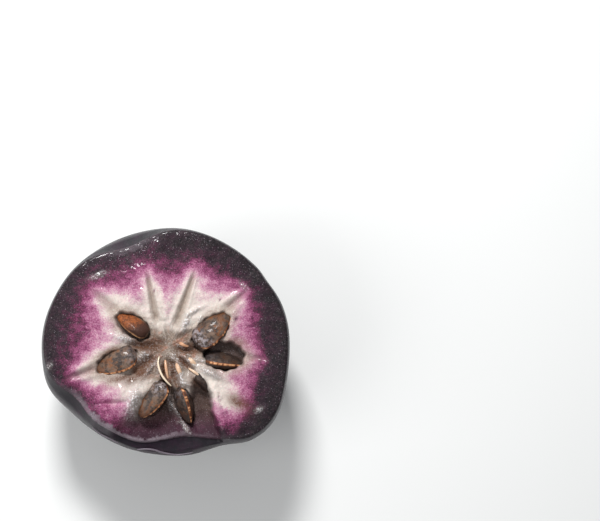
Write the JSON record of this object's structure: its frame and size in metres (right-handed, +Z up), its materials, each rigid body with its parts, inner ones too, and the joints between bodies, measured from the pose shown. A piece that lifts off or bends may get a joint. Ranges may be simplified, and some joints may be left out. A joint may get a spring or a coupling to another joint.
{
  "type": "star apple half",
  "caption": "Half of a purple star apple, cut across to show its white star of chambers with glossy seeds, lying on its round end with the cut face up.",
  "frame": {"origin": "centre of the small flat spot that the round end rests on", "axes": "+Z up through the cut face, +X along the wider way across the cut face, +Y across it, away from the torn side"},
  "size_m": [0.0716, 0.0659, 0.0405],
  "materials": {
    "fruit": "wet cut flesh, white to magenta, inside a smooth dark purple skin",
    "seed": "glossy brown seed coat with a dull orange scar along one edge"
  },
  "bodies": {
    "root": {"fruit_half": "fruit", "seed_upper_left": "seed", "seed_left": "seed", "seed_lower_left": "seed", "seed_lower_right": "seed", "seed_under_flap": "seed", "seed_right": "seed", "seed_upper_right": "seed"}
  },
  "joints": []
}
